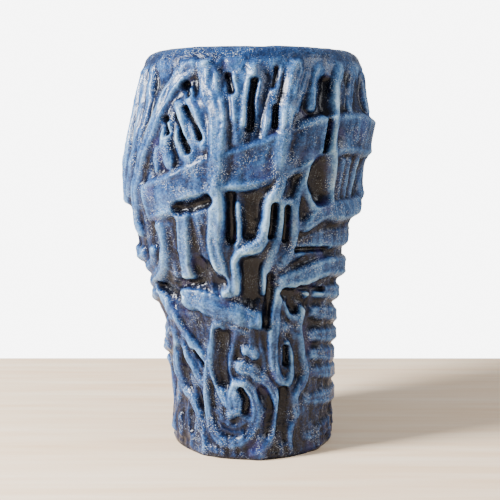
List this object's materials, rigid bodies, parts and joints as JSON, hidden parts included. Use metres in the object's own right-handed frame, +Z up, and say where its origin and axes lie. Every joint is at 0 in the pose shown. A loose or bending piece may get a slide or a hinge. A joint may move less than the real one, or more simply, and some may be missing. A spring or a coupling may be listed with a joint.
{
  "type": "tiki mug",
  "caption": "Tall carved ceramic tiki mug: a head above a ribbed neck, wound round with clay locks, a strap over the brow and a scroll, in mottled blue glaze.",
  "frame": {"origin": "centre of the flat underside that the mug stands on", "axes": "+Z up the mug, +X the way the carved face looks, +Y towards its left side"},
  "size_m": [0.1107, 0.108, 0.17],
  "materials": {
    "blue_glaze": "glossy mottled blue glaze with fine speckle, paler where it breaks over the ridges and near black in the hollows",
    "liner_glaze": "glossy plain dark blue glaze inside the cup",
    "bare_clay": "unglazed fired stoneware on the underside"
  },
  "bodies": {
    "mug": {"back_bands": "blue_glaze", "back_locks": "blue_glaze", "cheek_wall": "bare_clay", "crown_wall": "bare_clay", "cup_floor": "bare_clay", "headband": "blue_glaze", "left_border_ridge": "blue_glaze", "left_brace": "blue_glaze", "left_brow_locks": "blue_glaze", "left_cheek_locks": "blue_glaze", "left_ear_lock": "blue_glaze", "left_ear_pillar": "blue_glaze", "left_forehead_locks": "blue_glaze", "left_front_locks": "blue_glaze", "left_heel_locks": "blue_glaze", "left_jaw_locks": "blue_glaze", "left_knot_lock": "blue_glaze", "left_long_lock": "blue_glaze", "left_main_lock": "blue_glaze", "left_nape_locks": "blue_glaze", "left_neck_loop": "blue_glaze", "left_neck_ridges": "blue_glaze", "left_neck_stem": "blue_glaze", "left_scroll": "blue_glaze", "left_sideburn_locks": "blue_glaze", "left_temple_locks": "blue_glaze", "liner_glaze": "liner_glaze", "lower_lip": "blue_glaze", "neck_ribs": "blue_glaze", "neck_wall": "bare_clay", "nose": "blue_glaze", "nose_ridge": "blue_glaze", "right_border_ridge": "blue_glaze", "right_brace": "blue_glaze", "right_brow_locks": "blue_glaze", "right_cheek_locks": "blue_glaze", "right_ear_lock": "blue_glaze", "right_ear_pillar": "blue_glaze", "right_forehead_locks": "blue_glaze", "right_front_locks": "blue_glaze", "right_heel_locks": "blue_glaze", "right_jaw_locks": "blue_glaze", "right_knot_lock": "blue_glaze", "right_long_lock": "blue_glaze", "right_main_lock": "blue_glaze", "right_nape_locks": "blue_glaze", "right_neck_loop": "blue_glaze", "right_neck_ridges": "blue_glaze", "right_neck_stem": "blue_glaze", "right_scroll": "blue_glaze", "right_sideburn_locks": "blue_glaze", "right_temple_locks": "blue_glaze", "rim_lip": "blue_glaze", "upper_lip": "blue_glaze"}
  },
  "joints": []
}
